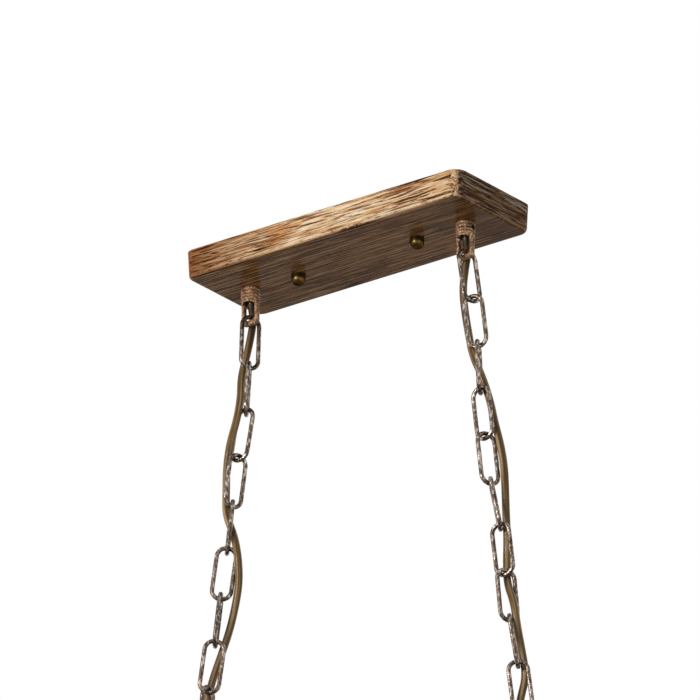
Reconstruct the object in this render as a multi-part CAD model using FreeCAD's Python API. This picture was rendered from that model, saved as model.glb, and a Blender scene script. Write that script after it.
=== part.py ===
"""Ceiling canopy with two hanging chains and their woven-in cords, for a pendant light.

Millimetres, +Z up. The origin is the middle of the canopy on the ceiling plane,
with +X along the canopy's length.
"""
import FreeCAD, Part
import math
import os

V = FreeCAD.Vector
UP = V(0, 0, 1)
DOWN = V(0, 0, -1)
SIDES = {"left": -1, "right": 1}

# Clearances shared by the fits
RUN_FIT = 0.05
HOLE_FIT = 0.2
FACE_GAP = 0.15
HANG_GAP = 1.1

# Canopy: a hollowed wooden tray, open towards the ceiling
CANOPY_LENGTH = 306.0
CANOPY_WIDTH = 110.0
CANOPY_HEIGHT = 25.5
CANOPY_INSET = 1.3
CANOPY_CORNER_R = 11.5
CANOPY_EDGE_R = 4.0
CANOPY_WALL = 9.0
CANOPY_FLOOR = 8.0
CAVITY_CORNER_R = 4.0

# Mounting strap on the ceiling
STRAP_LENGTH = 158.0
STRAP_WIDTH = 24.0
STRAP_THICKNESS = 2.0
STRAP_CORNER_R = 3.0
STRAP_LIP = 3.0
SLOT_SPACING = 88.9
SLOT_WIDTH = 5.0
SLOT_LENGTH = 14.0
SUPPLY_HOLE_R = 8.0
EARTH_SCREW_X = 26.0
EARTH_SCREW_R = 2.0
EARTH_HEAD_R = 4.0
EARTH_HEAD_HEIGHT = 2.4

# Studs and cap nuts that hold the canopy against the strap
STUD_SPACING = 132.0
STUD_R = 2.0
STUD_TOP_DROP = 0.4
STUD_REACH = 7.0
STUD_CHAMFER = 0.5
STUD_NUT_FLATS = 7.0
STUD_NUT_HEIGHT = 3.2
CAP_R = 6.35
CAP_SKIRT = 4.0
CAP_GROOVE_DEPTH = 0.5
CAP_GROOVE_WIDTH = 0.7
CAP_GROOVES = 2
CAP_BORE_DEPTH = 8.0

# Collar loops: a ribbed collar with a flat eye
LOOP_INSET = 33.5
COLLAR_R = 8.75
COLLAR_HEIGHT = 13.0
COLLAR_RIDGES = 4
COLLAR_GROOVE_DEPTH = 1.0
SHOULDER_HEIGHT = 2.0
SHOULDER_R = 7.3
EYE_THICKNESS = 5.2
EYE_WIDTH = 17.5
EYE_HOLE_WIDTH = 11.4
EYE_TOP = 14.0
EYE_HOLE_HEIGHT = 16.5
EYE_BAR = 4.5
EYE_ROUNDING = 1.3
EYE_CORNER_R = 4.0
EYE_HOLE_CORNER_R = 3.0
MOUTH_FLARE = 1.2
MOUTH_DEPTH = 4.0
SET_SCREW_R = 1.75
SET_RECESS_R = 2.4
SET_RECESS_DEPTH = 1.6
SET_SLOT_WIDTH = 0.6
SET_SLOT_DEPTH = 0.8

# Hollow nipples, their nuts and washers
NIPPLE_R = 5.0
NIPPLE_BORE_R = 4.0
NIPPLE_IN_COLLAR = 9.0
NIPPLE_NUT_FLATS = 14.0
NIPPLE_NUT_HEIGHT = 3.0
NIPPLE_PROUD = 0.8
NIPPLE_REACH_BELOW = 12.0
NIPPLE_RELIEF = 0.4
NIPPLE_RELIEF_LENGTH = 1.0
WASHER_R = 8.5
WASHER_THICKNESS = 1.2

# Chain links
LINK_WIRE = 4.0
LINK_WIDTH = 21.0
LINK_PITCH = 44.25
LINK_PLAY = 0.6
SEAM_DEPTH = 0.2
SEAM_WIDTH = 0.6
FIRST_LINK_SHIFT = 0.5
# The chains lean outwards in a plane turned this far from the XZ plane, in degrees
LEAN_TURN = 25.0
# How far each link leans outwards from the vertical, in degrees from the top down
LINK_LEAN = {
    "left": (1.75, 3.5, 8.8, 7.0, 5.9, 7.6, 6.4, 7.6, 7.0, 7.0),
    "right": (7.3, 6.4, 2.3, 5.9, 5.9, 10.6, 6.4, 4.7, 8.8, 7.0),
}
# How far each link's flat side is turned from +X, in degrees from the top down
LINK_TURN = {
    "left": (66, 124, 183, 254, 312, 398, 484, 578, 636, 711),
    "right": (71, 13, -61, -1, 67, 126, 186, 244, 302, 398),
}
# The lower eye is turned this far from the link it hangs on, which leaves room for the cord
LOWER_EYE_SKEW = -20.0

# Cord
CORD_R = 3.45
CORD_START_RISE = 1.0
CORD_MOUTH_DROP = 13.0
CORD_BESIDE_BAR = 5.4
CORD_PROUD = 4.0
# How far the cord lies off the chain's line, in x and y, at one and three quarters of each link
CORD_OFFSETS = {
    "left": ((-5.0, 7.9), (-7.6, 5.4), (-8.5, 0.0), (-3.5, -4.7), (-3.2, -6.7), (-6.0, -7.7),
             (-8.7, -4.4), (-7.7, -1.6), (-5.9, -0.6), (5.5, 0.5), (12.6, 1.3), (12.9, 7.3),
             (9.3, 10.4), (5.6, 10.8), (1.2, 9.0), (-4.0, 8.1), (-7.8, 8.6), (-7.8, 8.3),
             (-5.9, 7.2), (-5.1, 7.5)),
    "right": ((-7.4, 6.6), (-11.5, 3.4), (-12.8, 4.3), (-13.2, 6.6), (-7.3, 1.3), (1.4, 2.4),
              (3.2, 9.0), (6.7, 7.0), (10.5, 6.7), (11.5, 7.1), (9.1, 6.4), (5.1, 6.0),
              (1.0, 7.8), (-3.9, 9.4), (-2.5, 4.6), (6.5, -0.5), (6.4, 0.1), (2.8, 6.3),
              (0.6, 10.3), (-5.7, 5.4)),
}
# Where the cord slips past the bar of each loop, in x and y from the loop's axis
CORD_PAST_BAR = {"left": ((-2.4, 7.4), (-4.2, 6.5)), "right": ((-2.9, 7.4), (-7.7, 1.3))}

# Grip, cores and connectors inside the canopy
GRIP_R = 6.5
GRIP_SCREW_R = 1.4
GRIP_SCREW_LENGTH = 3.0
CORE_R = 1.0
CORE_COUNT = 3
CORE_STEP = 2.0
CORE_CREST = 3.2
CORE_FAN = 28.0
CORE_LANE_GAP = 10.0
CORE_LANE_STEP = 3.0
CORE_LEVEL = {"left": 8.0, "right": 10.0}
CORE_PAIR_GAP = 1.2
CORE_IN_CONNECTOR = 8.0
CONNECTOR_SPACING = 16.0
CONNECTOR_WALL_GAP = 3.5
CONNECTOR_LEVEL = 9.0
CONNECTOR_LENGTH = 17.0
CONNECTOR_MOUTH_R = 5.0
CONNECTOR_TIP_R = 3.4
CONNECTOR_BORE_R = 2.75
CONNECTOR_BORE_DEPTH = 12.0

QUARTER_TURN = 90.0

# Sizes that follow from the ones above
COLLAR_BORE_R = NIPPLE_R + RUN_FIT
EYE_BOTTOM = EYE_TOP + EYE_HOLE_HEIGHT
LOOP_LENGTH = EYE_BOTTOM + EYE_BAR
LINK_HALF = (LINK_WIDTH - LINK_WIRE) / 2
LINK_SPAN = LINK_PITCH + LINK_PLAY + LINK_WIRE
FLOOR_TOP = CANOPY_FLOOR - CANOPY_HEIGHT
NIPPLE_TOP = FLOOR_TOP + WASHER_THICKNESS + NIPPLE_NUT_HEIGHT + NIPPLE_PROUD
FIRST_LINK_Z = -CANOPY_HEIGHT - EYE_BOTTOM + LINK_WIRE / 2 + HANG_GAP
LINK_COUNT = len(LINK_LEAN["left"])
LOOP_SPACING = CANOPY_LENGTH - 2 * LOOP_INSET
GRIP_HEIGHT = (-NIPPLE_TOP - NIPPLE_PROUD - CORE_CREST) / 2
JACKET_TOP = CORE_CREST + GRIP_HEIGHT
POINTS_PER_LINK = len(CORD_OFFSETS["left"]) // LINK_COUNT
CONNECTOR_MOUTH_Y = CANOPY_WIDTH / 2 - CANOPY_WALL - CONNECTOR_WALL_GAP - CONNECTOR_LENGTH
CORE_LANE_Y = CONNECTOR_MOUTH_Y - CORE_LANE_GAP


def rounded_rectangle(length, width, radius, z):
    """Closed wire of a rounded rectangle, centred on the Z axis."""
    half_l = length / 2
    half_w = width / 2
    edges = []
    for sx, sy in ((1, 1), (-1, 1), (-1, -1), (1, -1)):
        centre = V(sx * (half_l - radius), sy * (half_w - radius), z)
        start = math.degrees(math.atan2(sy, sx)) - QUARTER_TURN / 2
        edges.append(Part.makeCircle(radius, centre, UP, start, start + QUARTER_TURN))
    for i in range(4):
        a = edges[i].Vertexes[-1].Point
        b = edges[(i + 1) % 4].Vertexes[0].Point
        edges.append(Part.makeLine(a, b))
    return Part.Wire(Part.__sortEdges__(edges))


def drafted_block(length, width, radius, inset, z_top, z_bottom):
    """Rounded block whose sides draw in by the inset towards the bottom."""
    top = rounded_rectangle(length, width, radius, z_top)
    bottom = rounded_rectangle(length - 2 * inset, width - 2 * inset, radius - inset, z_bottom)
    return Part.makeLoft([top, bottom], True, True)


def rod(radius, x, y, z_low, z_high):
    """Upright cylinder between two heights."""
    return Part.makeCylinder(radius, z_high - z_low, V(x, y, z_low), UP)


def revolved(points):
    """Solid of revolution about Z from a closed outline of (radius, height) pairs."""
    outline = [V(r, 0, z) for r, z in points]
    face = Part.Face(Part.makePolygon(outline + outline[:1]))
    return face.revolve(V(0, 0, 0), UP, 360)


def moved(shape, x, y, z):
    copy = shape.copy()
    copy.translate(V(x, y, z))
    return copy


def both_sides(shape, spacing, z):
    """The same piece at both ends of a spacing along X."""
    return Part.makeCompound([moved(shape, side * spacing / 2, 0, z) for side in SIDES.values()])


def hex_nut(flats, height, bore_r):
    """Hexagonal nut standing on z = 0."""
    corner = flats / math.sqrt(3)
    points = [V(corner * math.cos(math.radians(60 * i)), corner * math.sin(math.radians(60 * i)), 0)
              for i in range(7)]
    prism = Part.Face(Part.makePolygon(points)).extrude(V(0, 0, height))
    return prism.cut(rod(bore_r, 0, 0, 0, height))


def canopy_shell():
    """Wooden tray with a rounded lower edge, its cavity, and holes for nipples and studs."""
    body = drafted_block(CANOPY_LENGTH, CANOPY_WIDTH, CANOPY_CORNER_R, CANOPY_INSET, 0, -CANOPY_HEIGHT)
    lower = [e for e in body.Edges if all(abs(v.Z + CANOPY_HEIGHT) < RUN_FIT for v in e.Vertexes)]
    body = body.makeFillet(CANOPY_EDGE_R, lower)
    cavity = drafted_block(CANOPY_LENGTH - 2 * CANOPY_WALL, CANOPY_WIDTH - 2 * CANOPY_WALL,
                           CAVITY_CORNER_R, CANOPY_INSET, 0, FLOOR_TOP)
    body = body.cut(cavity)
    for side in SIDES.values():
        body = body.cut(rod(NIPPLE_R + HOLE_FIT, side * LOOP_SPACING / 2, 0, -CANOPY_HEIGHT, FLOOR_TOP))
        body = body.cut(rod(STUD_R + HOLE_FIT, side * STUD_SPACING / 2, 0, -CANOPY_HEIGHT, FLOOR_TOP))
    return body


def mounting_bracket():
    """Steel strap with turned-down lips, slots for the box screws, and stud and earth holes."""
    strap = Part.Face(rounded_rectangle(STRAP_LENGTH, STRAP_WIDTH, STRAP_CORNER_R, 0))
    strap = strap.extrude(V(0, 0, -STRAP_THICKNESS))
    lip_length = STRAP_LENGTH - 2 * STRAP_CORNER_R
    for side in (-1, 1):
        inner = side * (STRAP_WIDTH / 2 - STRAP_THICKNESS)
        low_y = min(inner, side * STRAP_WIDTH / 2)
        corner = V(-lip_length / 2, low_y, -STRAP_THICKNESS - STRAP_LIP)
        strap = strap.fuse(Part.makeBox(lip_length, STRAP_THICKNESS, STRAP_LIP, corner))
    strap = strap.removeSplitter()
    strap = strap.cut(rod(SUPPLY_HOLE_R, 0, 0, -STRAP_THICKNESS, 0))
    strap = strap.cut(rod(EARTH_SCREW_R + RUN_FIT, EARTH_SCREW_X, 0, -STRAP_THICKNESS, 0))
    for side in SIDES.values():
        strap = strap.cut(rod(STUD_R + RUN_FIT, side * STUD_SPACING / 2, 0, -STRAP_THICKNESS, 0))
        slot = Part.Face(rounded_rectangle(SLOT_LENGTH, SLOT_WIDTH, SLOT_WIDTH / 2 - RUN_FIT / 10, 0))
        slot = slot.extrude(V(0, 0, -STRAP_THICKNESS))
        strap = strap.cut(moved(slot, side * SLOT_SPACING / 2, 0, 0))
    return strap


def earth_screw():
    """Pan-headed earth screw in the strap, its head underneath."""
    shank = rod(EARTH_SCREW_R, EARTH_SCREW_X, 0, -STRAP_THICKNESS, -STUD_TOP_DROP)
    head_low = -STRAP_THICKNESS - EARTH_HEAD_HEIGHT
    head = rod(EARTH_HEAD_R, EARTH_SCREW_X, 0, head_low, -STRAP_THICKNESS)
    rim = [e for e in head.Edges if all(abs(v.Z - head_low) < RUN_FIT for v in e.Vertexes)]
    head = head.makeFillet(EARTH_HEAD_HEIGHT / 3, rim)
    return shank.fuse(head).removeSplitter()


def canopy_studs():
    """Headless studs from the strap down through the canopy floor."""
    low = -CANOPY_HEIGHT - STUD_REACH
    stud = rod(STUD_R, 0, 0, low, -STUD_TOP_DROP)
    ends = [e for e in stud.Edges if len(e.Vertexes) == 1]
    stud = stud.makeChamfer(STUD_CHAMFER, ends)
    return both_sides(stud, STUD_SPACING, 0)


def lock_nuts():
    """Stud nuts under the strap; nipple washers and nuts on the canopy floor."""
    stud_nut = hex_nut(STUD_NUT_FLATS, STUD_NUT_HEIGHT, STUD_R + RUN_FIT)
    washer = rod(WASHER_R, 0, 0, 0, WASHER_THICKNESS)
    washer = washer.cut(rod(NIPPLE_R + HOLE_FIT, 0, 0, 0, WASHER_THICKNESS))
    nipple_nut = hex_nut(NIPPLE_NUT_FLATS, NIPPLE_NUT_HEIGHT, NIPPLE_R + RUN_FIT)
    rows = [
        both_sides(stud_nut, STUD_SPACING, -STRAP_THICKNESS - STUD_NUT_HEIGHT),
        both_sides(washer, LOOP_SPACING, FLOOR_TOP),
        both_sides(nipple_nut, LOOP_SPACING, FLOOR_TOP + WASHER_THICKNESS),
    ]
    return Part.makeCompound([solid for row in rows for solid in row.Solids])


def cap_nut(side):
    """Domed cap nut with a grooved skirt and a blind bore for the stud."""
    outline = [V(0, 0, 0), V(CAP_R, 0, 0)]
    step = CAP_SKIRT / (CAP_GROOVES + 1)
    for i in range(CAP_GROOVES):
        z = -step * (i + 1)
        outline.append(V(CAP_R, 0, z + CAP_GROOVE_WIDTH / 2))
        outline.append(V(CAP_R - CAP_GROOVE_DEPTH, 0, z))
        outline.append(V(CAP_R, 0, z - CAP_GROOVE_WIDTH / 2))
    outline.append(V(CAP_R, 0, -CAP_SKIRT))
    tip = V(0, 0, -CAP_SKIRT - CAP_R)
    bulge = math.radians(45)
    middle = V(CAP_R * math.cos(bulge), 0, -CAP_SKIRT - CAP_R * math.sin(bulge))
    dome = Part.Arc(outline[-1], middle, tip).toShape()
    edges = [Part.makeLine(a, b) for a, b in zip(outline, outline[1:])]
    edges += [dome, Part.makeLine(tip, outline[0])]
    nut = Part.Face(Part.Wire(edges)).revolve(V(0, 0, 0), UP, 360)
    nut = nut.cut(rod(STUD_R + RUN_FIT, 0, 0, -CAP_BORE_DEPTH, 0))
    return moved(nut, SIDES[side] * STUD_SPACING / 2, 0, -CANOPY_HEIGHT - FACE_GAP)


def eye_plate(width, z_top, z_bottom, corner_r, depth):
    """Upright plate with rounded corners, through the XZ plane, of the given depth along Y."""
    outline = rounded_rectangle(width, z_top - z_bottom, corner_r, 0)
    plate = Part.Face(outline).extrude(UP * depth)
    plate.rotate(V(0, 0, 0), V(1, 0, 0), QUARTER_TURN)
    return moved(plate, 0, depth / 2, (z_top + z_bottom) / 2)


def collar():
    """Ribbed collar with round ridges and a shoulder under it, hung from z = 0."""
    pitch = COLLAR_HEIGHT / COLLAR_RIDGES
    edges = [Part.makeLine(V(0, 0, 0), V(COLLAR_R - COLLAR_GROOVE_DEPTH, 0, 0))]
    for i in range(COLLAR_RIDGES):
        top = V(COLLAR_R - COLLAR_GROOVE_DEPTH, 0, -i * pitch)
        crest = V(COLLAR_R, 0, -(i + 0.5) * pitch)
        foot = V(COLLAR_R - COLLAR_GROOVE_DEPTH, 0, -(i + 1) * pitch)
        edges.append(Part.Arc(top, crest, foot).toShape())
    low = V(SHOULDER_R, 0, -COLLAR_HEIGHT - SHOULDER_HEIGHT)
    axis_low = V(0, 0, -COLLAR_HEIGHT - SHOULDER_HEIGHT)
    edges.append(Part.makeLine(foot, low))
    edges.append(Part.makeLine(low, axis_low))
    edges.append(Part.makeLine(axis_low, V(0, 0, 0)))
    return Part.Face(Part.Wire(edges)).revolve(V(0, 0, 0), UP, 360)


def collar_loop():
    """Collar with a flat eye and a set screw; its seat is at z = 0 and the eye hangs below, open along Y."""
    eye = eye_plate(EYE_WIDTH, -COLLAR_HEIGHT + EYE_WIDTH / 2, -LOOP_LENGTH, EYE_CORNER_R, EYE_THICKNESS)
    hole = eye_plate(EYE_HOLE_WIDTH, -EYE_TOP, -EYE_BOTTOM, EYE_HOLE_CORNER_R, EYE_THICKNESS * 4)
    ring = eye.cut(hole)
    flat = [e for e in ring.Edges if e.BoundBox.YLength < RUN_FIT]
    ring = ring.makeFillet(EYE_ROUNDING, flat)
    above = Part.makeBox(EYE_WIDTH * 2, EYE_WIDTH * 2, EYE_WIDTH, V(-EYE_WIDTH, -EYE_WIDTH, -COLLAR_HEIGHT))
    ring = ring.cut(above)
    loop = ring.fuse(collar()).cut(hole)
    loop = loop.cut(rod(COLLAR_BORE_R, 0, 0, -EYE_TOP - COLLAR_BORE_R, 0))
    flare_end = COLLAR_BORE_R + MOUTH_FLARE
    mouth_low = V(0, 0, -COLLAR_HEIGHT - SHOULDER_HEIGHT)
    mouth = Part.makeCone(flare_end, COLLAR_BORE_R, MOUTH_DEPTH, mouth_low, UP)
    loop = loop.cut(mouth)
    drop = -COLLAR_HEIGHT / 2
    outward = V(1, 0, 0)
    recess_floor = COLLAR_R - SET_RECESS_DEPTH
    loop = loop.cut(Part.makeCylinder(SET_RECESS_R, COLLAR_R, V(recess_floor, 0, drop), outward))
    loop = loop.cut(Part.makeCylinder(SET_SCREW_R + RUN_FIT, COLLAR_R, V(0, 0, drop), outward))
    return Part.makeCompound([loop.removeSplitter(), set_screw(recess_floor, drop)])


def set_screw(head_x, z):
    """Slotted screw in the collar's wall, flush with its recess, just clear of the nipple."""
    start = NIPPLE_R + FACE_GAP
    screw = Part.makeCylinder(SET_SCREW_R, head_x - start, V(start, 0, z), V(1, 0, 0))
    slot_corner = V(head_x - SET_SLOT_DEPTH, -SET_SLOT_WIDTH / 2, z - SET_SCREW_R)
    slot = Part.makeBox(SET_SLOT_DEPTH, SET_SLOT_WIDTH, SET_SCREW_R * 2, slot_corner)
    return screw.cut(slot)


def upper_loops():
    """Collar loops under the canopy, with their set screws facing outwards."""
    loops = []
    for sign in SIDES.values():
        loop = collar_loop()
        loop.rotate(V(0, 0, 0), UP, (1 - sign) * QUARTER_TURN)
        loops.append(moved(loop, sign * LOOP_SPACING / 2, 0, -CANOPY_HEIGHT))
    return Part.makeCompound(loops)


def nipple(z_low, z_high):
    """Hollow threaded tube between two heights."""
    return rod(NIPPLE_R, 0, 0, z_low, z_high).cut(rod(NIPPLE_BORE_R, 0, 0, z_low, z_high))


def lower_nipple():
    """Nipple under the lower loop's seat, with a thread relief next to the collar's face."""
    relief = rod(NIPPLE_R, 0, 0, -NIPPLE_RELIEF_LENGTH, 0)
    relief = relief.cut(rod(NIPPLE_R - NIPPLE_RELIEF, 0, 0, -NIPPLE_RELIEF_LENGTH, 0))
    return nipple(-NIPPLE_REACH_BELOW, NIPPLE_IN_COLLAR).cut(relief)


def unit(angle):
    """Level direction at an angle from +X, in degrees."""
    return V(math.cos(math.radians(angle)), math.sin(math.radians(angle)), 0)


def chain_frames(side):
    """Top wire centre, downward direction and flat-side direction of each link."""
    frames = []
    top = V(SIDES[side] * LOOP_SPACING / 2 + FIRST_LINK_SHIFT, 0, FIRST_LINK_Z)
    for lean, turn in zip(LINK_LEAN[side], LINK_TURN[side]):
        angle = math.radians(lean)
        along = unit(LEAN_TURN) * (SIDES[side] * math.sin(angle)) + DOWN * math.cos(angle)
        flat = unit(turn)
        flat = flat - along * flat.dot(along)
        flat.normalize()
        frames.append((top, along, flat))
        top = top + along * LINK_PITCH
    return frames


def chain_foot(side):
    """Bottom wire centre of the last link."""
    top, along, flat = chain_frames(side)[-1]
    return top + along * LINK_SPAN


def link():
    """Round-wire link with a butt seam on one leg; top wire centre at the origin, flat side along X."""
    wire_r = LINK_WIRE / 2
    straight = LINK_SPAN - 2 * LINK_HALF
    section = Part.Face(Part.Wire(Part.makeCircle(wire_r, V(LINK_HALF, 0, -LINK_HALF), UP)))
    top_bend = section.revolve(V(0, 0, -LINK_HALF), V(0, -1, 0), 180)
    low_section = moved(section, 0, 0, -straight)
    low_bend = low_section.revolve(V(0, 0, -LINK_HALF - straight), V(0, 1, 0), 180)
    legs = [rod(wire_r, s * LINK_HALF, 0, -LINK_HALF - straight, -LINK_HALF) for s in (-1, 1)]
    body = top_bend.multiFuse([low_bend] + legs)
    seam_z = -LINK_SPAN / 2
    seam = rod(LINK_WIRE, LINK_HALF, 0, seam_z - SEAM_WIDTH / 2, seam_z + SEAM_WIDTH / 2)
    core = rod(wire_r - SEAM_DEPTH, LINK_HALF, 0, seam_z - SEAM_WIDTH / 2, seam_z + SEAM_WIDTH / 2)
    return body.cut(seam.cut(core))


def placed(shape, origin, x_dir, z_dir):
    """Copy of a shape with its X and Z axes along two square directions."""
    y_dir = z_dir.cross(x_dir)
    turn = FreeCAD.Matrix(x_dir.x, y_dir.x, z_dir.x, origin.x,
                          x_dir.y, y_dir.y, z_dir.y, origin.y,
                          x_dir.z, y_dir.z, z_dir.z, origin.z,
                          0, 0, 0, 1)
    copy = shape.copy()
    copy.Placement = FreeCAD.Placement(turn)
    return copy


def lower_loop_origin(side):
    """Seat of the lower loop, whose eye hangs on the last link."""
    foot = chain_foot(side)
    return foot + V(0, 0, LINK_WIRE / 2 + HANG_GAP - EYE_BOTTOM)


def lower_loop(side):
    """Collar loop turned over, with its eye set askew to the last link's flat side."""
    open_dir = unit(LINK_TURN[side][-1] + LOWER_EYE_SKEW)
    bar_dir = open_dir.cross(DOWN)
    return placed(collar_loop(), lower_loop_origin(side), bar_dir, DOWN)


def cord_route(side):
    """Points of the cord's free length, from inside the upper nipple to inside the lower one."""
    axis_x = SIDES[side] * LOOP_SPACING / 2
    frames = chain_frames(side)
    (near_x, near_y), (far_x, far_y) = CORD_PAST_BAR[side]
    upper_bar = -CANOPY_HEIGHT - EYE_BOTTOM
    points = [
        V(axis_x, 0, -CANOPY_HEIGHT + CORD_START_RISE),
        V(axis_x, 0, -CANOPY_HEIGHT - CORD_MOUTH_DROP),
        V(axis_x + near_x, near_y, upper_bar + CORD_BESIDE_BAR),
    ]
    for i, (dx, dy) in enumerate(CORD_OFFSETS[side]):
        top, along, flat = frames[i // POINTS_PER_LINK]
        share = (i % POINTS_PER_LINK + 0.5) / POINTS_PER_LINK
        points.append(top + along * (LINK_PITCH * share) + V(dx, dy, 0))
    seat = lower_loop_origin(side)
    points.append(seat + V(far_x, far_y, EYE_BOTTOM - CORD_BESIDE_BAR))
    points.append(seat + V(0, 0, CORD_MOUTH_DROP))
    points.append(seat - V(0, 0, CORD_START_RISE))
    return points


def bends(points):
    """Each inner point of a route as a tangent arc: start, end, centre, axis, angle and radius."""
    arcs = []
    for a, b, c in zip(points, points[1:], points[2:]):
        back = a - b
        ahead = c - b
        reach = 0.45 * min(back.Length, ahead.Length)
        back.normalize()
        ahead.normalize()
        turn = math.pi - back.getAngle(ahead)
        radius = reach / math.tan(turn / 2)
        middle = back + ahead
        middle.normalize()
        centre = b + middle * (radius / math.cos(turn / 2))
        axis = ahead.cross(back)
        axis.normalize()
        arcs.append((b + back * reach, b + ahead * reach, centre, axis, math.degrees(turn), radius))
    return arcs


def tube(start, arcs, end, radius, name):
    """Round tube along straight runs and tangent arcs; its volume is compared with section times length."""
    pieces = []
    length = 0.0
    here = start
    for arc_start, arc_end, centre, axis, angle, bend_r in arcs:
        run = arc_start - here
        pieces.append(Part.makeCylinder(radius, run.Length, here, run))
        section = Part.Face(Part.Wire(Part.makeCircle(radius, arc_start, run)))
        pieces.append(section.revolve(centre, axis, angle))
        length += run.Length + bend_r * math.radians(angle)
        here = arc_end
    run = end - here
    pieces.append(Part.makeCylinder(radius, run.Length, here, run))
    length += run.Length
    body = pieces[0].multiFuse(pieces[1:])
    expected = math.pi * radius ** 2 * length
    radii = [round(arc[-1], 1) for arc in arcs]
    print(name, "radii", radii, "volume ratio", round(body.Volume / expected, 5), "solids", len(body.Solids))
    return body


def cord_stretches(side):
    """The free cord, cut at the middle of each link into one stretch per joint of the chain."""
    points = cord_route(side)
    arcs = bends(points)
    cuts = [points[0]]
    groups = []
    first_link_point = 3
    taken = 0
    for k in range(LINK_COUNT):
        i = first_link_point + POINTS_PER_LINK * k
        cuts.append((points[i] + points[i + 1]) * 0.5)
        groups.append(arcs[taken:i])
        taken = i
    cuts.append(points[-1])
    groups.append(arcs[taken:])
    return [tube(a, group, b, CORD_R, side + " cord") for a, group, b in zip(cuts, groups, cuts[1:])]


def core_route(side, index):
    """One core from the cord's stripped end to its connector."""
    sign = SIDES[side]
    axis_x = sign * LOOP_SPACING / 2
    offset = (index - (CORE_COUNT - 1) / 2) * CORE_STEP
    lane = CORE_LANE_Y + index * CORE_LANE_STEP
    level = -CORE_LEVEL[side]
    goal = sign * (index - (CORE_COUNT - 1) / 2) * CONNECTOR_SPACING + sign * CORE_PAIR_GAP
    return [
        V(axis_x, offset, -JACKET_TOP),
        V(axis_x, offset, -CORE_CREST),
        V(axis_x - sign * CORE_FAN, lane, level),
        V(goal, lane, level),
        V(goal, CONNECTOR_MOUTH_Y + CORE_IN_CONNECTOR, level),
    ]


def cable_ends():
    """Fixed ends of the cords inside the canopy: the jackets in the nipples and the stripped cores."""
    solids = []
    for side, sign in SIDES.items():
        x = sign * LOOP_SPACING / 2
        solids.append(rod(CORD_R, x, 0, -CANOPY_HEIGHT + CORD_START_RISE, -JACKET_TOP))
        for index in range(CORE_COUNT):
            route = core_route(side, index)
            solids.append(tube(route[0], bends(route), route[-1], CORE_R, side + " core"))
    return Part.makeCompound(solids)


def lower_cable_end(side):
    """Fixed end of the cord in the lower nipple, where it goes on into the light's body."""
    seat = lower_loop_origin(side)
    low = seat.z - NIPPLE_REACH_BELOW - CORD_PROUD
    return rod(CORD_R, seat.x, seat.y, low, seat.z - CORD_START_RISE)


def cord_grips():
    """Rings clamped on the cords above the nipples, each with a side screw."""
    ring = rod(GRIP_R, 0, 0, 0, GRIP_HEIGHT)
    screw_start = V(0, CORD_R + RUN_FIT, GRIP_HEIGHT / 2)
    screw = Part.makeCylinder(GRIP_SCREW_R, GRIP_R - CORD_R + GRIP_SCREW_LENGTH, screw_start, V(0, 1, 0))
    ring = ring.fuse(screw).cut(rod(CORD_R + RUN_FIT, 0, 0, 0, GRIP_HEIGHT))
    return both_sides(ring, LOOP_SPACING, NIPPLE_TOP)


def wire_connectors():
    """Tapered twist-on connectors lying across the canopy, mouths towards the strap."""
    wall_step = (CONNECTOR_MOUTH_R - CONNECTOR_TIP_R) / 2
    cone = revolved([
        (CONNECTOR_BORE_R, 0), (CONNECTOR_MOUTH_R, 0), (CONNECTOR_MOUTH_R, CONNECTOR_LENGTH / 4),
        (CONNECTOR_TIP_R + wall_step, CONNECTOR_LENGTH / 3), (CONNECTOR_TIP_R, CONNECTOR_LENGTH),
        (0, CONNECTOR_LENGTH), (0, CONNECTOR_BORE_DEPTH), (CONNECTOR_BORE_R, CONNECTOR_BORE_DEPTH),
    ])
    row = []
    for index in range(CORE_COUNT):
        x = (index - (CORE_COUNT - 1) / 2) * CONNECTOR_SPACING
        origin = V(x, CONNECTOR_MOUTH_Y, -CONNECTOR_LEVEL)
        row.append(placed(cone, origin, V(1, 0, 0), V(0, 1, 0)))
    return Part.makeCompound(row)


def build():
    """Every node by name."""
    nodes = {
        "canopy_shell": canopy_shell(),
        "mounting_bracket": mounting_bracket(),
        "earth_screw": earth_screw(),
        "canopy_studs": canopy_studs(),
        "lock_nuts": lock_nuts(),
        "upper_loops": upper_loops(),
        "upper_nipples": both_sides(nipple(-CANOPY_HEIGHT - NIPPLE_IN_COLLAR, NIPPLE_TOP), LOOP_SPACING, 0),
        "cord_grips": cord_grips(),
        "cable_ends": cable_ends(),
        "wire_connectors": wire_connectors(),
    }
    one_link = link()
    for side in SIDES:
        nodes["cap_nut_" + side] = cap_nut(side)
        for number, (top, along, flat) in enumerate(chain_frames(side), 1):
            nodes["%s_link_%02d" % (side, number)] = placed(one_link, top, flat, along * -1)
        for number, stretch in enumerate(cord_stretches(side), 1):
            nodes["%s_cord_%02d" % (side, number)] = stretch
        seat = lower_loop_origin(side)
        nodes["lower_loop_" + side] = lower_loop(side)
        nodes["lower_nipple_" + side] = moved(lower_nipple(), seat.x, seat.y, seat.z)
        nodes["lower_cable_" + side] = lower_cable_end(side)
    return nodes


os.makedirs("parts", exist_ok=True)
for name, shape in build().items():
    shape.exportStep(os.path.join("parts", name + ".step"))
    print(name, "valid", shape.isValid(), "solids", len(shape.Solids), "volume", round(shape.Volume, 1))
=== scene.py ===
"""Looks of the ceiling canopy with its two chains and woven-in cords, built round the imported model."""
import math

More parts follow.
